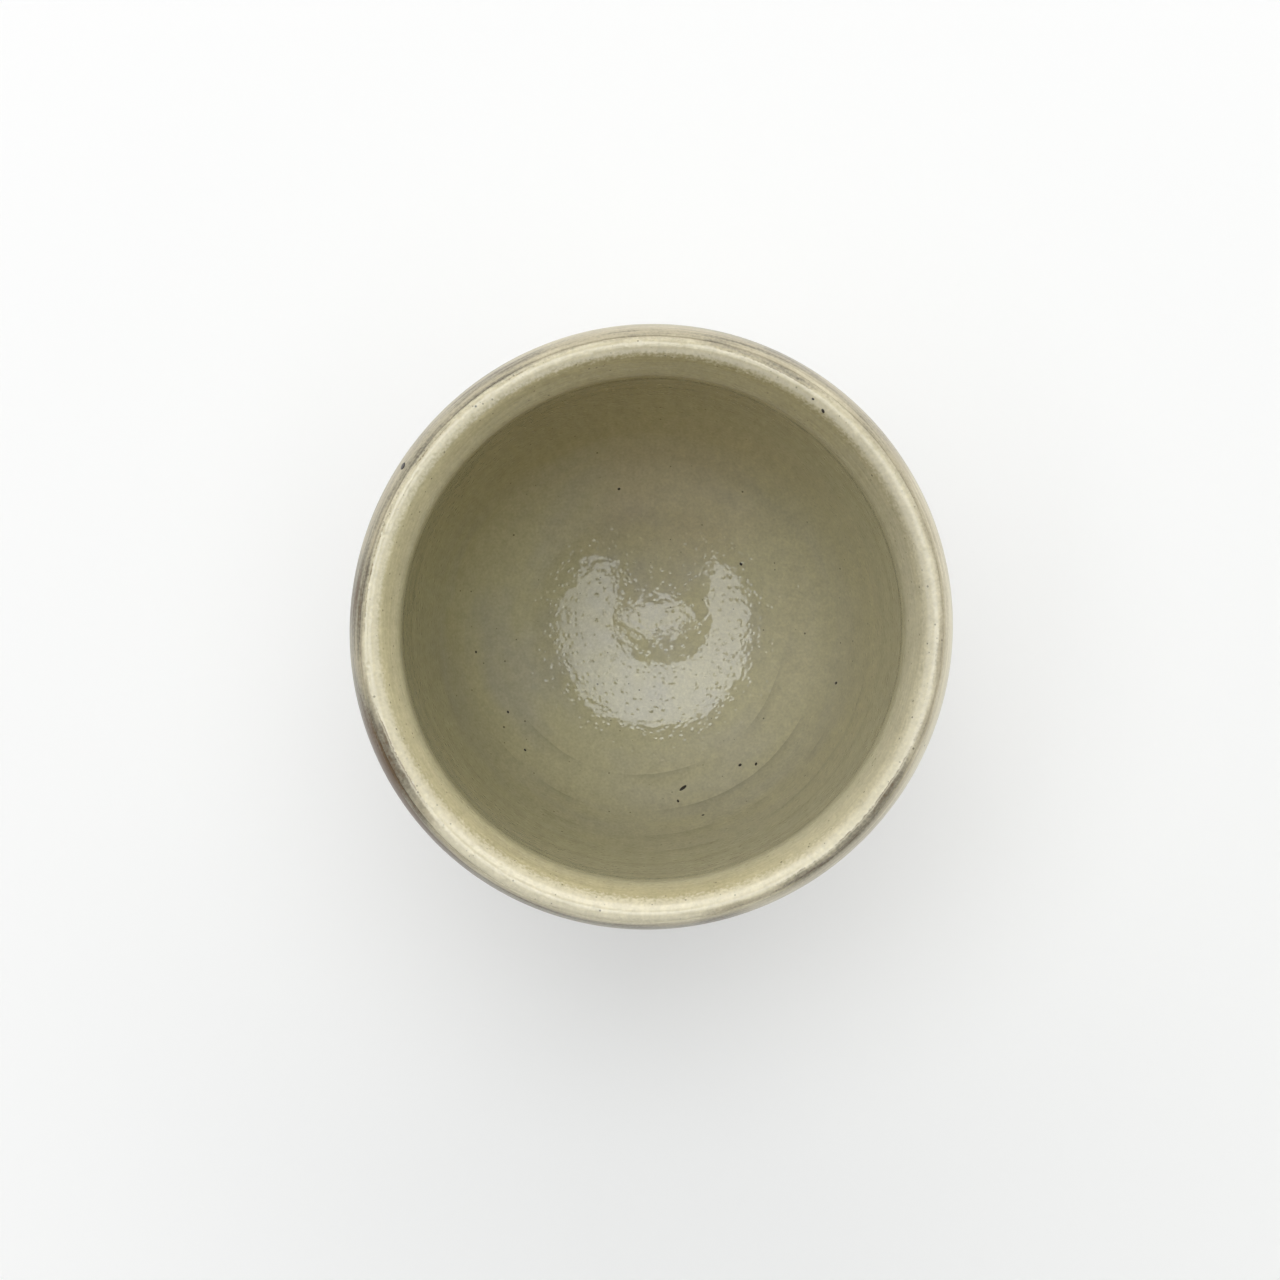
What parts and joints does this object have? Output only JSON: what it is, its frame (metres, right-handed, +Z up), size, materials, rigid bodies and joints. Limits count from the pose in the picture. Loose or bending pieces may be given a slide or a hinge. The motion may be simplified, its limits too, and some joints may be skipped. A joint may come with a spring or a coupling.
{
  "type": "yunomi teacup",
  "caption": "Handleless hand-thrown stoneware teacup, barrel-shaped with a rolled lip and a foot ring, slipped and glazed, for drinking tea.",
  "frame": {"origin": "on the table, at the centre of the foot ring's standing face", "axes": "+Z up the cup's axis, from the foot to the mouth; +Y is the top of the picture and +X its right"},
  "size_m": [0.082, 0.082, 0.086],
  "materials": {
    "stoneware": "bare fired clay, matt, fine grit",
    "slip": "pale brushed slip, matt",
    "liner_glaze": "glossy cream to olive ash glaze over pale slip, iron specks and pinholes",
    "outer_glaze": "glossy clear glaze over streaky brushed slip, cream to blue-grey and brown"
  },
  "bodies": {
    "root": {"thrown_body": "stoneware", "foot_ring": "stoneware", "inner_slip": "slip", "outer_slip": "slip", "liner_glaze": "liner_glaze", "outer_glaze": "outer_glaze"}
  },
  "joints": []
}
